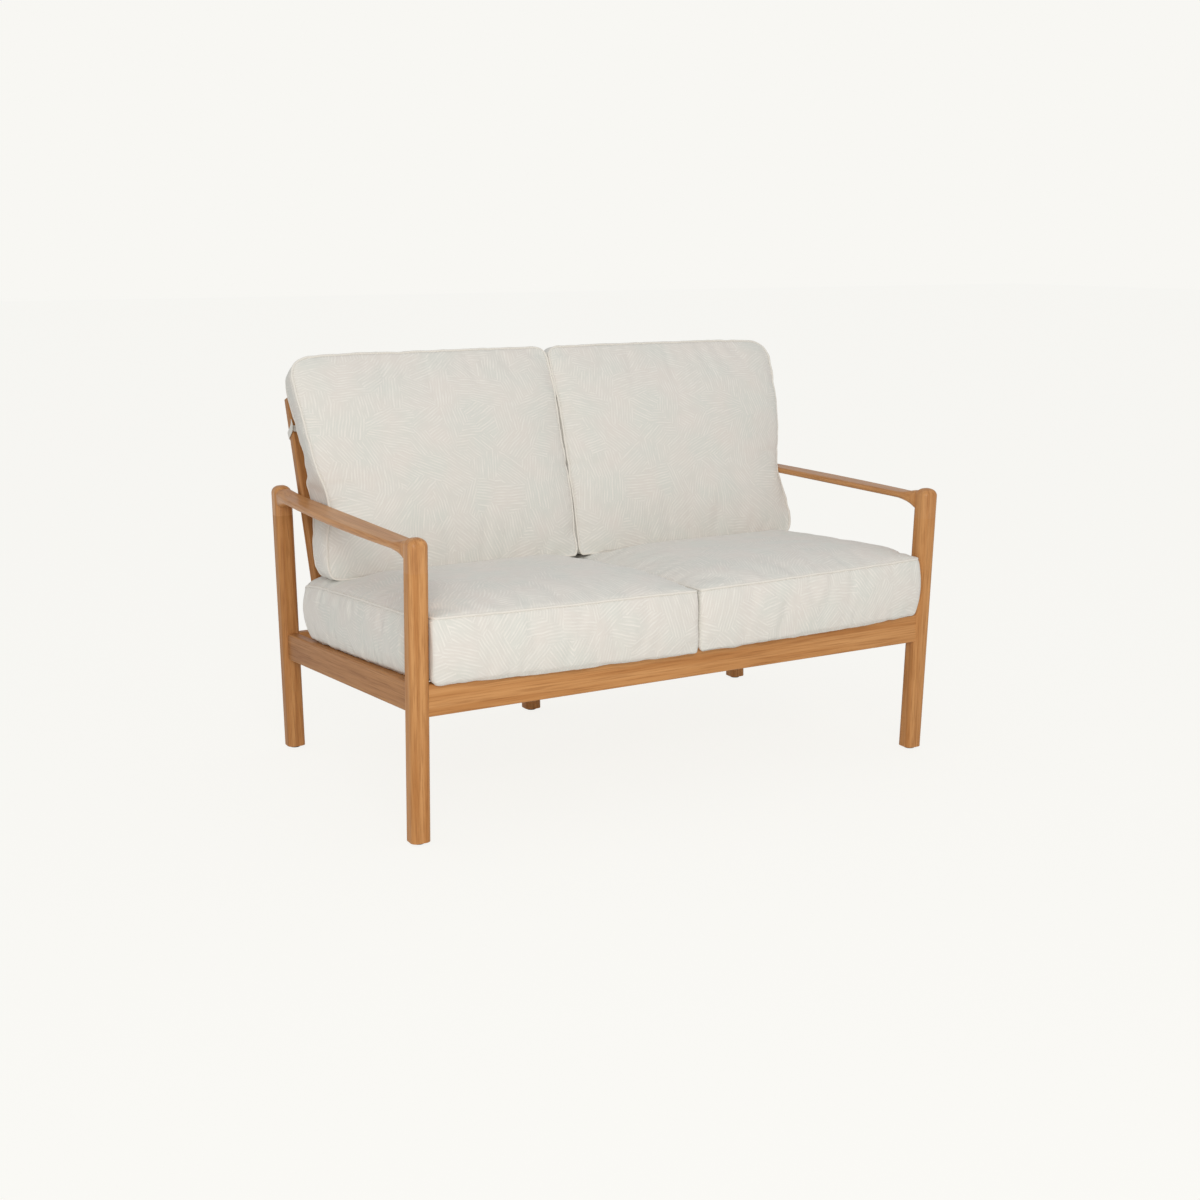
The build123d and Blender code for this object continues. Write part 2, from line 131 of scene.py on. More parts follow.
studio_all = add_node(
    studio,
    "MixShader",
    {
        0: studio_ray.outputs["Is Camera Ray"],
        1: studio_light.outputs[0],
        2: studio_seen.outputs[0],
    },
)
add_node(studio, "OutputWorld", {"Surface": studio_all.outputs[0]})

bpy.ops.object.light_add(type="AREA", location=(-2.2, -4.6, 2.6))
front_lamp = bpy.context.object
front_lamp.name = "front_lamp"
front_lamp.data.shape = "RECTANGLE"
front_lamp.data.size = 3
front_lamp.data.size_y = 2.4
front_lamp.data.energy = 124
front_lamp.data.color = (1, 0.975, 0.925)
lamp_aim = Vector((0, 0, 0.5)) - front_lamp.location
front_lamp.rotation_euler = lamp_aim.to_track_quat("-Z", "Y").to_euler()


# Frame: legs, rails, stiles and slats of extruded aluminium tube, and arms of cast aluminium. It is
# welded, powder coated and brushed by hand with a teak-coloured glaze, so the grain runs along each
# member and the skin is satin.
glaze_shades = ("#B47A44", "#CC955E", "#8A5426")
# Painted shade: the rear legs get darker shades, and the side rails and stiles darker still, for
# the shade they lie in under the arms and the cushions
rear_painted_shade_tones, side_painted_shade_tones = ("#AA723E", "#C28C56", "#824D23"), ("#A06A38", "#B8824E", "#794620")
arm_middle, knuckle_reach = -0.0028, 0.352


def teak_glaze(name, turn, knuckles=False, shades=glaze_shades, polish=0.2):
    """The brushed glaze, with its grain turned from upright to the member's own direction. The
    shades are the glaze where it is thick, where it is thin, and in a bristle's line."""
    made = bpy.data.materials.new(name)
    made.use_nodes = True
    coat = made.node_tree.nodes["Principled BSDF"]
    spot = add_node(made, "TexCoord", {})
    turned = add_node(made, "Mapping", {"Vector": spot.outputs["Object"], "Rotation": turn})
    along = turned.outputs[0]
    if knuckles:
        # An arm turns down into its legs at its knuckles, and the brushing turns with it
        places = add_node(made, "SeparateXYZ", {0: spot.outputs["Object"]})
        reach = add_node(made, "Math", {0: places.outputs[1], 1: -arm_middle}, operation="ADD")
        off_middle = add_node(made, "Math", {0: reach.outputs[0]}, operation="ABSOLUTE")
        past = add_node(
            made, "Math", {0: off_middle.outputs[0], 1: knuckle_reach}, operation="GREATER_THAN"
        )
        along = add_node(
            made,
            "Mix",
            {0: past.outputs[0], 4: along, 5: spot.outputs["Object"]},
            data_type="VECTOR",
        ).outputs[1]
    # Brush bands are about 6 mm wide and 300 mm long, and bristle lines 1.6 mm by 90 mm
    band_place = add_node(
        made, "Mapping", {"Vector": along, "Scale": (1 / 0.012, 1 / 0.012, 1 / 0.5)}
    )
    band = add_node(
        made,
        "TexNoise",
        {"Vector": band_place.outputs[0], "Scale": 1, "Detail": 2, "Roughness": 0.5},
    )
    line_place = add_node(
        made, "Mapping", {"Vector": along, "Scale": (1 / 0.0028, 1 / 0.0028, 1 / 0.11)}
    )
    line = add_node(
        made,
        "TexNoise",
        {"Vector": line_place.outputs[0], "Scale": 1, "Detail": 3, "Roughness": 0.6},
    )
    band_share = add_node(
        made, "MapRange", {"Value": band.outputs[0], "From Min": 0.3, "From Max": 0.7}
    )
    line_share = add_node(
        made,
        "MapRange",
        {"Value": line.outputs[0], "From Min": 0.46, "From Max": 0.74, "To Max": 0.62},
    )
    body = add_node(
        made,
        "Mix",
        {0: band_share.outputs[0], 6: paint(shades[0]), 7: paint(shades[1])},
        data_type="RGBA",
    )
    streaked = add_node(
        made,
        "Mix",
        {0: line_share.outputs[0], 6: body.outputs[2], 7: paint(shades[2])},
        data_type="RGBA",
    )
    made.node_tree.links.new(streaked.outputs[2], coat.inputs["Base Color"])
    gloss = add_node(
        made,
        "MapRange",
        {"Value": line.outputs[0], "From Min": 0.3, "From Max": 0.7, "To Min": 0.5, "To Max": 0.62},
    )
    made.node_tree.links.new(gloss.outputs[0], coat.inputs["Roughness"])
    relief = add_node(
        made, "Bump", {"Height": line.outputs[0], "Strength": 0.35, "Distance": 0.0004}
    )
    made.node_tree.links.new(relief.outputs[0], coat.inputs["Normal"])
    coat.inputs["IOR"].default_value = 1.48
    coat.inputs["Specular IOR Level"].default_value = 0.16
    coat.inputs["Coat Weight"].default_value = polish
    coat.inputs["Coat Roughness"].default_value = 0.3
    coat.inputs["Coat IOR"].default_value = 1.45
    return made


upright_glaze = teak_glaze("brushed_teak_glaze_upright", (0, 0, 0))
across_glaze = teak_glaze("brushed_teak_glaze_across", (0, math.radians(90), 0))
# Painted shade: this glaze, and the side rails' and stiles' glazes below, are darkened for shade
rear_glaze_painted_shade = teak_glaze("brushed_teak_glaze_rear_legs_painted_shade", (0, 0, 0), shades=rear_painted_shade_tones)
# The side rails fall with the deck by 4.4 degrees, and the stiles are raked by 18.6
deck_turn, stile_turn = (math.radians(94.4), 0, 0), (math.radians(18.6), 0, 0)
deck_glaze_painted_shade = teak_glaze("brushed_teak_glaze_lengthwise_painted_shade", deck_turn, shades=side_painted_shade_tones)
raked_glaze_painted_shade = teak_glaze("brushed_teak_glaze_raked_painted_shade", stile_turn, shades=side_painted_shade_tones)
# Hands polish the arms
arm_turn = (math.radians(90), 0, 0)
arm_glaze = teak_glaze("brushed_teak_glaze_arm", arm_turn, knuckles=True, polish=0.5)
glaze_for = {
    upright_glaze: ("front_leg_",),
    rear_glaze_painted_shade: ("rear_leg_", "centre_leg"),
    across_glaze: (
        "front_rail",
        "rear_rail",
        "seat_slat_",
        "back_slat_",
        "back_top_rail",
        "stile_rail_",
    ),
    deck_glaze_painted_shade: ("side_rail_", "centre_beam"),
    arm_glaze: ("arm_",),
    raked_glaze_painted_shade: ("stile_left", "stile_right", "stile_centre"),
}
for glaze, starts in glaze_for.items():
    for node_name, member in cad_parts.items():
        if node_name.startswith(starts):
            member.data.materials.clear()
            member.data.materials.append(glaze)

# Glides and plugs. Black nylon, moulded, with a fine matt texture.
nylon = bpy.data.materials.new("moulded_black_nylon")
nylon.use_nodes = True
nylon_skin = nylon.node_tree.nodes["Principled BSDF"]
nylon_spot = add_node(nylon, "TexCoord", {})
nylon_grit = add_node(
    nylon, "TexNoise", {"Vector": nylon_spot.outputs["Object"], "Scale": 1 / 0.0012, "Detail": 2}
)
nylon_tone = add_node(
    nylon,
    "Mix",
    {0: nylon_grit.outputs[0], 6: paint("#1B1B1A"), 7: paint("#2B2A28")},
    data_type="RGBA",
)
nylon.node_tree.links.new(nylon_tone.outputs[2], nylon_skin.inputs["Base Color"])
nylon_relief = add_node(
    nylon, "Bump", {"Height": nylon_grit.outputs[0], "Strength": 0.3, "Distance": 0.0003}
)
nylon.node_tree.links.new(nylon_relief.outputs[0], nylon_skin.inputs["Normal"])
nylon_skin.inputs["Roughness"].default_value = 0.55
for node_name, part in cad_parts.items():
    if node_name.startswith(("glide_", "leg_plug_")):
        part.data.materials.clear()
        part.data.materials.append(nylon)

# Foam slabs. Cut polyurethane foam, cream, with open cells about a millimetre wide.
foam = bpy.data.materials.new("cut_polyurethane_foam")
foam.use_nodes = True
foam_skin = foam.node_tree.nodes["Principled BSDF"]
foam_spot = add_node(foam, "TexCoord", {})
foam_cells = add_node(
    foam, "TexVoronoi", {"Vector": foam_spot.outputs["Object"], "Scale": 1 / 0.0015}
)
foam_tone = add_node(
    foam,
    "Mix",
    {0: foam_cells.outputs[0], 6: paint("#E2D3A6"), 7: paint("#F3EBCF")},
    data_type="RGBA",
)
foam.node_tree.links.new(foam_tone.outputs[2], foam_skin.inputs["Base Color"])
foam_relief = add_node(
    foam, "Bump", {"Height": foam_cells.outputs[0], "Strength": 0.5, "Distance": 0.0006}
)
foam.node_tree.links.new(foam_relief.outputs[0], foam_skin.inputs["Normal"])
foam_skin.inputs["Roughness"].default_value = 0.95
for node_name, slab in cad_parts.items():
    if "foam" in node_name:
        slab.data.materials.clear()
        slab.data.materials.append(foam)


# Seat cushions. Covers of woven polyester jacquard in cream, box-sewn with self piping on the upper
# seam, over a fibre wrap and foam. They lie on the slats and are squeezed between the front legs.
def jacquard_cloth(name):
    """Cream cloth woven with patches of raised strokes that change direction from patch to patch"""
    made = bpy.data.materials.new(name)
    made.use_nodes = True
    cloth = made.node_tree.nodes["Principled BSDF"]
    flat = add_node(made, "UVMap", {})
    # Ragged edges between patches: the cloth's coordinates are stirred by about 12 mm
    stir = add_node(made, "TexNoise", {"Vector": flat.outputs[0], "Scale": 1 / 0.04, "Detail": 2})
    stir_by = add_node(
        made,
        "VectorMath",
        {0: stir.outputs[1], 1: (0.5, 0.5, 0.5)},
        operation="SUBTRACT",
    )
    stirred = add_node(
        made,
        "VectorMath",
        {0: stir_by.outputs[0], 1: (0.05, 0.05, 0), 2: flat.outputs[0]},
        operation="MULTIPLY_ADD",
    )
    # Patches are about 60 mm across, and their strokes 6.5 mm apart and 35 mm long
    cells = add_node(
        made,
        "TexVoronoi",
        {"Vector": stirred.outputs[0], "Scale": 1 / 0.062},
        voronoi_dimensions="2D",
    )
    chance = add_node(made, "SeparateColor", {0: cells.outputs["Color"]})
    angle = add_node(made, "MapRange", {"Value": chance.outputs[0], "To Min": -1.6, "To Max": 1.6})
    turned = add_node(
        made,
        "VectorRotate",
        {"Vector": flat.outputs[0], "Angle": angle.outputs[0]},
        rotation_type="Z_AXIS",
    )
    rows = add_node(
        made,
        "TexWave",
        {
            "Vector": turned.outputs[0],
            "Scale": 0.314 / 0.0065,
            "Distortion": 4,
            "Detail": 1.5,
            "Detail Scale": 0.5,
        },
    )
    broken_place = add_node(
        made, "Mapping", {"Vector": turned.outputs[0], "Scale": (1 / 0.007, 1 / 0.035, 1)}
    )
    broken = add_node(
        made, "TexNoise", {"Vector": broken_place.outputs[0], "Scale": 1, "Detail": 1}
    )
    rows_share = add_node(
        made, "MapRange", {"Value": rows.outputs[1], "From Min": 0.3, "From Max": 0.9}
    )
    broken_share = add_node(
        made, "MapRange", {"Value": broken.outputs[0], "From Min": 0.36, "From Max": 0.62}
    )
    both = add_node(
        made, "Math", {0: rows_share.outputs[0], 1: broken_share.outputs[0]}, operation="MULTIPLY"
    )
    tint = add_node(made, "TexNoise", {"Vector": flat.outputs[0], "Scale": 1 / 0.09, "Detail": 1})
    tint_share = add_node(
        made, "MapRange", {"Value": tint.outputs[0], "From Min": 0.35, "From Max": 0.65}
    )
    ground = add_node(
        made,
        "Mix",
        {0: tint_share.outputs[0], 6: paint("#D8D7D0"), 7: paint("#DDD7D0")},
        data_type="RGBA",
    )
    drawn = add_node(
        made,
        "Mix",
        {0: both.outputs[0], 6: ground.outputs[2], 7: paint("#E5E1DA")},
        data_type="RGBA",
    )
    made.node_tree.links.new(drawn.outputs[2], cloth.inputs["Base Color"])
    # Yarns lie 1.4 mm apart; real ones are finer, and are drawn coarse so that they show
    yarn = add_node(made, "TexNoise", {"Vector": flat.outputs[0], "Scale": 1 / 0.0014, "Detail": 1})
    height = add_node(
        made,
        "Math",
        {0: yarn.outputs[0], 1: 0.35, 2: both.outputs[0]},
        operation="MULTIPLY_ADD",
    )
    relief = add_node(
        made, "Bump", {"Height": height.outputs[0], "Strength": 0.35, "Distance": 0.0006}
    )
    made.node_tree.links.new(relief.outputs[0], cloth.inputs["Normal"])
    cloth.inputs["Roughness"].default_value = 0.92
    cloth.inputs["Specular IOR Level"].default_value = 0.25
    cloth.inputs["Sheen Weight"].default_value = 0.15
    cloth.inputs["Sheen Roughness"].default_value = 0.5
    return made


cushion_cloth = jacquard_cloth("cream_jacquard")
# The piping is cut on the bias, so its strokes don't read. Its colour is painted lighter than the
# cloth's, a painted highlight for the light its round cord catches
piping_cloth = bpy.data.materials.new("cream_bias_piping_painted_highlight")
piping_cloth.use_nodes = True
piping_skin = piping_cloth.node_tree.nodes["Principled BSDF"]
piping_spot = add_node(piping_cloth, "TexCoord", {})
piping_yarn = add_node(
    piping_cloth,
    "TexNoise",
    {"Vector": piping_spot.outputs["Object"], "Scale": 1 / 0.0016, "Detail": 1},
)
piping_painted_highlight_tone = add_node(
    piping_cloth,
    "Mix",
    {0: piping_yarn.outputs[0], 6: paint("#DAD5CC"), 7: paint("#E9E4DC")},
    data_type="RGBA",
)
piping_cloth.node_tree.links.new(piping_painted_highlight_tone.outputs[2], piping_skin.inputs["Base Color"])
piping_relief = add_node(
    piping_cloth, "Bump", {"Height": piping_yarn.outputs[0], "Strength": 0.4, "Distance": 0.0005}
)
piping_cloth.node_tree.links.new(piping_relief.outputs[0], piping_skin.inputs["Normal"])
piping_skin.inputs["Roughness"].default_value = 0.9
piping_skin.inputs["Sheen Weight"].default_value = 0.15


def boxed_cover(name, counts, sizes, place):
    """A closed boxed cover, as squares over six sides. place gives a point for shares across, along
    and up. Its flat layout goes into a UV map in metres. It also gives the two seams' points."""
    across, along, up = counts
    wide, long, high = sizes
    made = bmesh.new()
    corners = {}

    def corner(spot):
        if spot not in corners:
            shares = (spot[0] / across, spot[1] / along, spot[2] / up)
            corners[spot] = made.verts.new(place(*shares))
        return corners[spot]

    layout = made.loops.layers.uv.new("UVMap")

    def square(spots, flat):
        face = made.faces.new([corner(s) for s in spots])
        face.smooth = True
        for loop, spot in zip(face.loops, spots):
            place_flat = (spot[0] / across * wide, spot[1] / along * long, spot[2] / up * high)
            loop[layout].uv = flat(*place_flat)

    for i in range(across):
        for j in range(along):
            ring = [(i, j), (i + 1, j), (i + 1, j + 1), (i, j + 1)]
            square([(x, y, up) for x, y in ring], lambda x, y, z: (x, y))
            square([(x, y, 0) for x, y in reversed(ring)], lambda x, y, z: (x + 2, y))
    for i in range(across):
        for k in range(up):
            ring = [(i, k), (i + 1, k), (i + 1, k + 1), (i, k + 1)]
            square([(x, 0, z) for x, z in ring], lambda x, y, z: (x, z - high))
            square([(x, along, z) for x, z in reversed(ring)], lambda x, y, z: (x, long + high - z))
    for j in range(along):
        for k in range(up):
            ring = [(j, k), (j + 1, k), (j + 1, k + 1), (j, k + 1)]
            square([(across, y, z) for y, z in ring], lambda x, y, z: (wide + high - z, y))
            square([(0, y, z) for y, z in reversed(ring)], lambda x, y, z: (z - high, y))
    border = [(i, 0) for i in range(across)] + [(across, j) for j in range(along)]
    border += [(i, along) for i in range(across, 0, -1)] + [(0, j) for j in range(along, 0, -1)]
    made.verts.index_update()
    seams = [[corners[(x, y, z)].index for x, y in border] for z in (0, up)]
    mesh = bpy.data.meshes.new(name)
    near_seam, near_side, near_end = {}, {}, {}
    for spot, vert in corners.items():
        off_top = min(spot[0] / across, 1 - spot[0] / across) * wide
        off_end = min(spot[1] / along, 1 - spot[1] / along) * long
        off_up = min(spot[2] / up, 1 - spot[2] / up) * high
        near_seam[vert.index] = min(off_top, off_end) if spot[2] in (0, up) else off_up
        near_side[vert.index], near_end[vert.index] = off_top, off_end
    made.to_mesh(mesh)
    made.free()
    cover = bpy.data.objects.new(name, mesh)
    bpy.context.scene.collection.objects.link(cover)
    for label, near in (("from_seam", near_seam), ("from_side", near_side), ("from_end", near_end)):
        distance = mesh.attributes.new(label, "FLOAT", "POINT")
        distance.data.foreach_set("value", [near[v] for v in range(len(mesh.vertices))])
    return cover, seams


def swell(cover, seams, cap):
    """Blow the cover up as cloth from inside, with its seams held near their place, and keep each
    point within the cap of where it started"""
    group = cover.vertex_groups.new(name="seams")
    group.add(sorted({v for seam in seams for v in seam}), 0.85, "ADD")
    bpy.ops.object.select_all(action="DESELECT")
    bpy.context.view_layer.objects.active = cover
    cover.select_set(True)
    start = np.array([v.co for v in cover.data.vertices])
    cloth = cover.modifiers.new("cloth", "CLOTH")
    cloth.settings.quality = 5
    cloth.settings.mass = 0.3
    cloth.settings.tension_stiffness = 25
    cloth.settings.compression_stiffness = 25
    cloth.settings.shear_stiffness = 10
    cloth.settings.bending_stiffness = 1.5
    cloth.settings.vertex_group_mass = "seams"
    cloth.settings.pin_stiffness = 8
    cloth.settings.shrink_min = -0.012
    cloth.settings.use_pressure = True
    cloth.settings.uniform_pressure_force = 4
    cloth.settings.effector_weights.gravity = 0
    cloth.point_cache.frame_start = 1
    cloth.point_cache.frame_end = 20
    for step in range(1, 21):
        bpy.context.scene.frame_set(step)
    bpy.ops.object.modifier_apply(modifier=cloth.name)
    bpy.context.scene.frame_set(1)
    cover.vertex_groups.clear()
    swollen = np.array([v.co for v in cover.data.vertices])
    moved = swollen - start
    length = np.linalg.norm(moved, axis=1)
    share = cap * np.tanh(length / cap) / np.maximum(length, 1e-9)
    cover.data.vertices.foreach_set("co", (start + moved * share[:, None]).ravel())
    cover.data.update()


crease_high = 0.649


def finish_cover(cover, limits, seed, side_run, end_run):
    """Subdivide the cover once, wrinkle it, and hold it inside its limits. The runs are how often
    the gathers along the side seams and along the end seams repeat, per metre on each axis."""
    bpy.ops.object.select_all(action="DESELECT")
    bpy.context.view_layer.objects.active = cover
    cover.select_set(True)
    finer = cover.modifiers.new("finer", "SUBSURF")
    finer.levels = finer.render_levels = 1
    bpy.ops.object.modifier_apply(modifier=finer.name)
    near = {}
    for label in ("from_seam", "from_side", "from_end"):
        near[label] = np.zeros(len(cover.data.vertices), np.float32)
        cover.data.attributes[label].data.foreach_get("value", near[label])
    # Puckers 16 mm long along the seams, gathers across them, ripples 70 mm and billows 170 mm
    # long, and the seam drawn in behind its piping
    points = []
    for vert in cover.data.vertices:
        spot = vert.co
        off_seam, off_side, off_end = (near[label][vert.index] for label in near)
        pucker = noise.noise(spot * 62 + Vector((seed, 0, 0))) * 0.0016
        pucker *= math.exp(-off_seam / 0.014)
        gather = noise.noise(spot * side_run) * 0.0017 * math.exp(-off_side / 0.045)
        gather += noise.noise(spot * end_run) * 0.001 * math.exp(-off_end / 0.03)
        ripple = noise.noise(spot * 15 + Vector((0, seed, 0))) * 0.0015
        billow = noise.noise(spot * 6 + Vector((0, 0, seed))) * 0.003
        tuck = -0.0034 * math.exp(-off_seam / 0.0045)
        # The arm nips a back cushion, and a crease runs in from just above it
        off_crease = (spot.z - crease_high) / 0.006
        tuck -= 0.0024 * math.exp(-(off_crease**2)) * math.exp(-off_side / 0.06)
        points.append(limits(spot + vert.normal * (pucker + gather + ripple + billow + tuck)))
    for vert, point in zip(cover.data.vertices, points):
        vert.co = point
    cover.data.update()


def self_piping(name, cover, seams, radius, limits):
    """A cord of the same cloth sewn into the seams of a cover, sunk by 0.4 of its radius"""
    curve = bpy.data.curves.new(name, "CURVE")
    curve.dimensions = "3D"
    curve.bevel_depth = radius
    curve.bevel_resolution = 2
    for seam in seams:
        verts = [cover.data.vertices[v] for v in seam]
        spots = [vert.co + vert.normal * radius * 0.6 for vert in verts]
        line = curve.splines.new("NURBS")
        line.points.add(len(spots) - 1)
        for point, spot in zip(line.points, spots):
            point.co = (*limits(spot), 1)
        line.use_cyclic_u = True
        line.order_u = 4
        line.resolution_u = 2
    cord = bpy.data.objects.new(name, curve)
    bpy.context.scene.collection.objects.link(cord)
    bpy.ops.object.select_all(action="DESELECT")
    bpy.context.view_layer.objects.active = cord
    cord.select_set(True)
    bpy.ops.object.convert(target="MESH")
    cord = bpy.context.object
    for face in cord.data.polygons:
        face.use_smooth = True
    layout = cord.data.uv_layers.new(name="UVMap")
    for loop in cord.data.loops:
        spot = cord.data.vertices[loop.vertex_index].co
        layout.data[loop.index].uv = (spot.x + spot.y, spot.z + spot.y)
    return cord


def rounded_plan(x, y, half_x, half_y, radius):
    """Round the corners of a rectangle's grid, keeping its rows evenly spread"""
    off_x, off_y = abs(x) - (half_x - radius), abs(y) - (half_y - radius)
    if off_x > 0 and off_y > 0:
        u, v = off_x / radius, off_y / radius
        off_x, off_y = radius * u * math.sqrt(1 - v * v / 2), radius * v * math.sqrt(1 - u * u / 2)
        return math.copysign(half_x - radius + off_x, x), math.copysign(half_y - radius + off_y, y)
    return x, y


def eased(value, stops):
    """Read a smooth line through stops, each a place and a value"""
    for (low, low_value), (high, high_value) in zip(stops, stops[1:]):
        if value <= high:
            share = max(0, (value - low) / (high - low))
            return low_value + (high_value - low_value) * share * share * (3 - 2 * share)
    return stops[-1][1]


# The frame that holds the cushions: the front legs' feet, the deck, and the back slats' face
front_foot = -0.3639
deck_high, deck_fall, rake = 0.3303, math.tan(math.radians(4.4)), math.radians(18.6)
back_face_y, back_face_z = 0.32655, 0.617
# Each cushion is drawn as a rectangle 0.6 m wide, and then widened to its outline
half_wide, half_gap, least_gap = 0.3, 0.0012, 0.0009
piping_radius, swell_cap = 0.0028, 0.012

# A seat cushion's outline from above, as the outer side's place from front to rear. Its upper seam
# rises to the outer side, to the rear and to the middle of the loveseat, and sags at the outer rear
# corner. Its lower front edge hangs over the front rail.
seat_front, seat_rear = -0.4155, 0.2585
seat_outline = [(-0.42, 0.601), (-0.352, 0.6025), (-0.305, 0.622), (0.1, 0.626), (0.26, 0.626)]
seat_low, seat_high = 0.0015, 0.121
seat_rise_out, seat_rise_rear, seat_rise_in = 0.007, 0.004, 0.007
seat_crown, seat_crown_out, seat_sole = 0.028, 0.006, 0.004
seat_set_back, seat_corner_sag = 0.013, 0.018
seat_droop, seat_droop_in, droop_run = 0.009, 0.013, 0.045


def deck_at(y):
    """The height of the slats' tops at a place from front to rear"""
    return deck_high - deck_fall * (y - front_foot)


def seat_place(side):
    """How a point of one seat cushion lies in the loveseat"""

    def place(a, b, c):
        half_long = (seat_rear - seat_front) / 2
        radius = 0.03 if b > 0.5 else 0.016 if a > 0.5 else 0.012
        x, y = (2 * a - 1) * half_wide, (2 * b - 1) * half_long
        x, y = rounded_plan(x, y, half_wide, half_long, radius)
        core_x = max(-half_wide + radius, min(half_wide - radius, x))
        core_y = max(-half_long + radius, min(half_long - radius, y))
        out = Vector((x - core_x, y - core_y))
        if a in (0, 1) or b in (0, 1):
            out = out.normalized() * (0.009 if a == 1 else 0.004) * math.sin(math.pi * c)
            x, y = x + out.x, y + out.y
        crown = (1 - abs(2 * a - 1) ** 4) * (1 - abs(2 * b - 1) ** 3.4)
        share = (x + half_wide) / (2 * half_wide)
        y += (seat_front + seat_rear) / 2 + seat_set_back * share**3 * (1 - b) ** 6
        outer = eased(y, seat_outline)
        x = half_gap + (outer - half_gap) * share
        up = seat_low + (seat_high + seat_rise_out * share + seat_rise_rear * b - seat_low) * c
        if c == 1:
            up += (seat_crown + seat_crown_out * share) * crown**0.7
        if c == 0:
            up -= seat_sole * min(1, 3 * crown)
        up += seat_rise_in * c * (1 - share) ** 2 * eased(b, [(0, 0), (0.3, 1)])
        near_side, near_rear = max(0, (share - 0.8) / 0.2), max(0, (b - 0.85) / 0.15)
        up -= seat_corner_sag * c * near_side**2 * near_rear**2
        # The rear end leans with the back
        lean = rake * max(0, b) ** 1.5
        droop = seat_droop + seat_droop_in * (1 - share) ** 2
        droop = droop * max(0, 1 - b / droop_run) * (1 - c)
        return Vector((side * x, y + up * math.sin(lean), deck_at(y) + up * math.cos(lean) - droop))

    return place


# A seat cushion's room: to the front leg and the side rail, and under the back cushion
seat_room = [(-0.34, 0.6042), (-0.3, 0.632), (0.1, 0.636)]
seat_headroom = [(0.03, 0.168), (0.085, 0.1472)]
front_rail_face = -0.39


def seat_limits(side):
    """Where one seat cushion may be: off its neighbour, the legs, the slats and the back"""

    def limits(spot):
        x, y, z = side * spot.x, spot.y, spot.z
        x = max(least_gap, x)
        x = min(x, eased(y, seat_room))
        if y > front_rail_face:
            z = max(z, deck_at(y) + 0.0002)
        z = min(z, deck_at(y) + eased(y, seat_headroom))
        y = min(y, back_face_y - (back_face_z - z) * math.tan(rake) - 0.0004)
        return Vector((side * x, y, z))

    return limits


seat_counts, seat_sizes = (60, 68, 13), (0.605, 0.68, 0.125)
for side, end in ((-1, "left"), (1, "right")):
    cover, seams = boxed_cover(f"seat_cushion_{end}", seat_counts, seat_sizes, seat_place(side))
    if side < 0:
        cover.data.flip_normals()
    swell(cover, seams, swell_cap)
    finish_cover(cover, seat_limits(side), 4.3 * side, Vector((9, 60, 9)), Vector((40, 9, 9)))
    cover.data.materials.append(cushion_cloth)
    piping = self_piping(f"seat_piping_{end}", cover, seams[1:], piping_radius, seat_limits(side))
    piping.data.materials.append(piping_cloth)
    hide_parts(f"seat_cover_{end}")
    for piece in (cover, piping):
        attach(piece, f"seat_cushion_{end}")
        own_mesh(piece)

# Back cushions. The same cloth and make, thicker in the middle, with piping on both seams. Each
# stands on a seat cushion, leans on the back slats, is nipped at the arm and tied to a stile.
# Here, climb is the distance up the back from the arms' height, and out is off the slats' face.
back_low, back_high = -0.2, 0.268
# The outer side's place at each climb, and how much further in the rear seam is
outline_climbs = (-0.25, -0.2, -0.15, -0.121, -0.064, -0.03, 0.002, 0.039, 0.099, 0.167, 0.28)
outline_widths = (0.618, 0.622, 0.62, 0.615, 0.5995, 0.603, 0.614, 0.622, 0.63, 0.636, 0.641)
taper_climbs = (-0.05, 0, 0.025, 0.057, 0.145, 0.172, 0.242)
tapers = (0.003, 0.009, 0.016, 0.02, 0.019, 0.0145, 0.012)
# The seams' distances out, with the rear one drawn back at the arms, and the face's belly and crown
rear_seam, front_seam, drawn_back = 0.074, 0.154, 0.03
back_belly, back_crown, back_sole = 0.014, 0.02, 0.004
back_corner_sag, back_inner_sag, back_tuck = 0.006, 0.008, 0.253
arm_room = [(0.5, 0.64), (0.568, 0.609), (0.584, 0.5992), (0.618, 0.5992), (0.72, 0.66)]


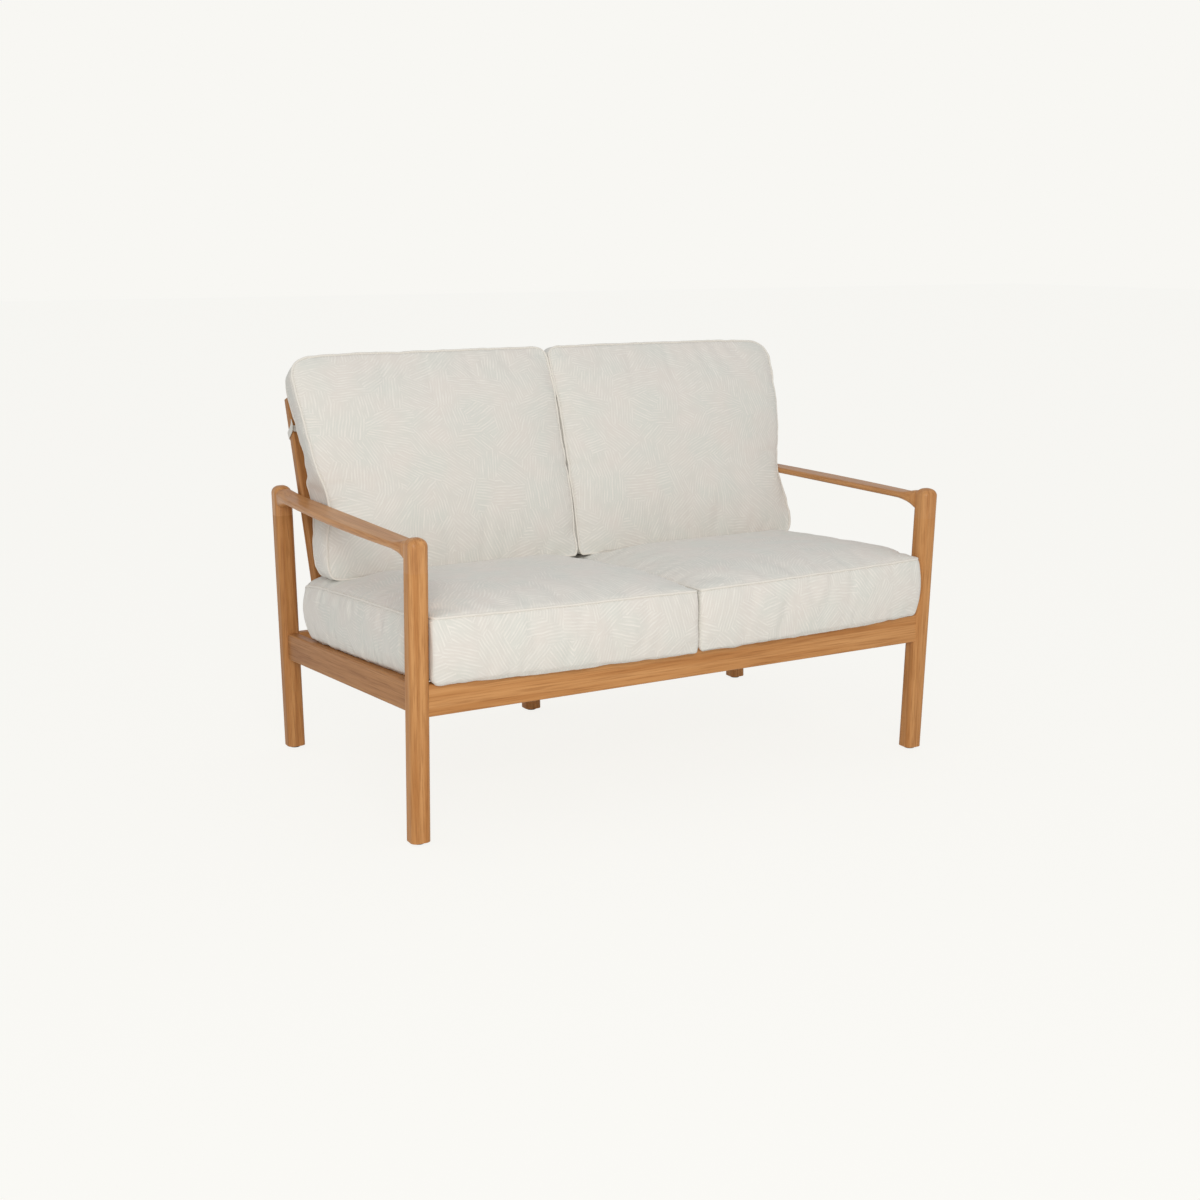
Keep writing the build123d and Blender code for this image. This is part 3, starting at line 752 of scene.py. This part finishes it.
def back_place(side):
    """How a point of one back cushion lies in the loveseat"""

    def place(a, b, c):
        half_long = (back_high - back_low) / 2
        radius = 0.05 if a > 0.5 and b > 0.5 else 0.03 if b > 0.5 or a > 0.5 else 0.022
        x, y = (2 * a - 1) * half_wide, (2 * b - 1) * half_long
        x, y = rounded_plan(x, y, half_wide, half_long, radius)
        core_x = max(-half_wide + radius, min(half_wide - radius, x))
        core_y = max(-half_long + radius, min(half_long - radius, y))
        out = Vector((x - core_x, y - core_y))
        if a in (0, 1) or b in (0, 1):
            out = out.normalized() * 0.003 * math.sin(math.pi * c)
            x, y = x + out.x, y + out.y
        crown = (1 - abs(2 * a - 1) ** 2.4) * (1 - abs(2 * b - 1) ** 2.4)
        share = (x + half_wide) / (2 * half_wide)
        near_side = max(0, (share - 0.6) / 0.4)
        climb = y + (back_low + back_high) / 2 - back_corner_sag * b**3 * near_side**2
        outer = float(np.interp(climb, outline_climbs, outline_widths))
        outer -= (1 - c) * float(np.interp(climb, taper_climbs, tapers))
        x = half_gap + (outer - half_gap) * share
        belly = 1 - (2 * b - 1) ** 2
        seam_out = rear_seam - drawn_back * math.exp(-(((climb + 0.04) / 0.07) ** 2))
        out = seam_out + (front_seam - seam_out + back_belly * belly) * c
        if c == 1:
            out += back_crown * crown**0.8
        if c == 0:
            inside = 2.2 * (1 - abs(2 * a - 1) ** 5) * (1 - abs(2 * b - 1) ** 5)
            out -= (seam_out + back_sole) * min(1, inside) ** 0.75
        # The lower end is cut to lie on the seat
        climb -= back_tuck * out * (1 - b) ** 3 + back_inner_sag * (1 - share) ** 6 * (1 - b) ** 3
        y = back_face_y + climb * math.sin(rake) - out * math.cos(rake)
        z = back_face_z + climb * math.cos(rake) + out * math.sin(rake)
        return Vector((side * x, y, z))

    return place


def back_limits(side):
    """Where one back cushion may be: off its neighbour, the arm, the slats and the seat"""

    def limits(spot):
        x, y, z = side * spot.x, spot.y, spot.z
        x = max(least_gap, x)
        x = min(x, eased(z, arm_room))
        out = (back_face_y - y) * math.cos(rake) + (z - back_face_z) * math.sin(rake)
        climb = (y - back_face_y) * math.sin(rake) + (z - back_face_z) * math.cos(rake)
        # The boxing narrows towards the back seam, and stands out little
        behind = min(1.1, max(0, (front_seam - out) / 0.08))
        taper = float(np.interp(climb, taper_climbs, tapers)) * behind
        x = min(x, float(np.interp(climb, outline_climbs, outline_widths)) + 0.0015 - taper)
        if out < 0.0004:
            y -= (0.0004 - out) * math.cos(rake)
            z += (0.0004 - out) * math.sin(rake)
        z = max(z, deck_at(y) + 0.1475)
        return Vector((side * x, y, z))

    return limits


back_counts, back_sizes = (60, 52, 7), (0.61, 0.52, 0.065)
for side, end in ((-1, "left"), (1, "right")):
    cover, seams = boxed_cover(f"back_cushion_{end}", back_counts, back_sizes, back_place(side))
    if side < 0:
        cover.data.flip_normals()
    swell(cover, seams, swell_cap)
    finish_cover(cover, back_limits(side), 2.9 * side, Vector((9, 20, 80)), Vector((75, 9, 9)))
    cover.data.materials.append(cushion_cloth)
    piping = self_piping(f"back_piping_{end}", cover, seams, piping_radius, back_limits(side))
    piping.data.materials.append(piping_cloth)
    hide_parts(f"back_cover_{end}")
    for piece in (cover, piping):
        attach(piece, f"back_cushion_{end}")
        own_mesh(piece)

# Tie straps. A folded strip of the cushions' own cloth, 17 mm wide, comes from each back cushion's
# rear seam, slants down round the end of a stile, and is stitched to itself in front of it. Its
# route is given round the stile's middle, as the distance to the outer side and that to the rear.
strap_climb, strap_tilt = 0.12997, math.radians(38)
strap_width, strap_thick, strap_waver = 0.017, 0.0018, 0.0006
stile_middle, stile_half_deep = 0.5872, 0.014
strap_run = Vector((0, math.cos(strap_tilt), -math.sin(strap_tilt)))
strap_across = Vector((0, math.sin(strap_tilt), math.cos(strap_tilt)))
strap_route = [
    (0.0205, -0.049), (0.0185, -0.04), (0.0155, -0.029), (0.0139, -0.02), (0.0137, -0.008),
    (0.0137, 0.006), (0.0132, 0.0135), (0.0105, 0.0168), (0.004, 0.0175), (-0.004, 0.0175),
    (-0.0105, 0.0168),
    (-0.0132, 0.0135), (-0.0137, 0.005), (-0.0137, -0.006), (-0.0132, -0.0135), (-0.0105, -0.0168),
    (-0.003, -0.0176), (0.005, -0.0178), (0.0105, -0.0188), (0.0125, -0.024),
]
for side, end in ((-1, "left"), (1, "right")):
    centre = Vector((
        side * stile_middle,
        back_face_y + strap_climb * math.sin(rake) + stile_half_deep * math.cos(rake),
        back_face_z + strap_climb * math.cos(rake) - stile_half_deep * math.sin(rake),
    ))
    made = bmesh.new()
    layout = made.loops.layers.uv.new("UVMap")
    rows, length = [], 0
    for number, (off, along) in enumerate(strap_route):
        row = []
        for step in range(5):
            share = step / 4 - 0.5
            waver = strap_waver * math.sin(number * 1.3 + step)
            point = centre + Vector((side * off, 0, 0)) + strap_run * (along + waver)
            row.append(made.verts.new(point + strap_across * strap_width * share))
        rows.append(row)
    for number, (row, after) in enumerate(zip(rows, rows[1:])):
        step_long = (after[2].co - row[2].co).length
        for place in range(4):
            face = made.faces.new((row[place], row[place + 1], after[place + 1], after[place]))
            face.smooth = True
            after_long = length + step_long
            spots = [(place, length), (place + 1, length)]
            spots += [(place + 1, after_long), (place, after_long)]
            for loop, (over, down) in zip(face.loops, spots):
                loop[layout].uv = (over / 4 * strap_width, down)
        length += step_long
    mesh = bpy.data.meshes.new(f"tie_strap_cloth_{end}")
    made.to_mesh(mesh)
    made.free()
    strap = bpy.data.objects.new(f"tie_strap_cloth_{end}", mesh)
    bpy.context.scene.collection.objects.link(strap)
    bpy.ops.object.select_all(action="DESELECT")
    bpy.context.view_layer.objects.active = strap
    strap.select_set(True)
    thick = strap.modifiers.new("thick", "SOLIDIFY")
    thick.thickness = strap_thick
    thick.offset = 0
    bpy.ops.object.modifier_apply(modifier=thick.name)
    soft = strap.modifiers.new("soft", "SUBSURF")
    soft.levels = soft.render_levels = 2
    bpy.ops.object.modifier_apply(modifier=soft.name)
    bpy.ops.object.mode_set(mode="EDIT")
    bpy.ops.mesh.select_all(action="SELECT")
    bpy.ops.mesh.normals_make_consistent(inside=False)
    bpy.ops.object.mode_set(mode="OBJECT")
    strap.data.materials.append(cushion_cloth)
    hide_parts(f"tie_strap_{end}")
    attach(strap, f"back_cushion_{end}")

dressed_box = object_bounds()
[[list(point) for point in box] for box in (drawn_box, dressed_box)]
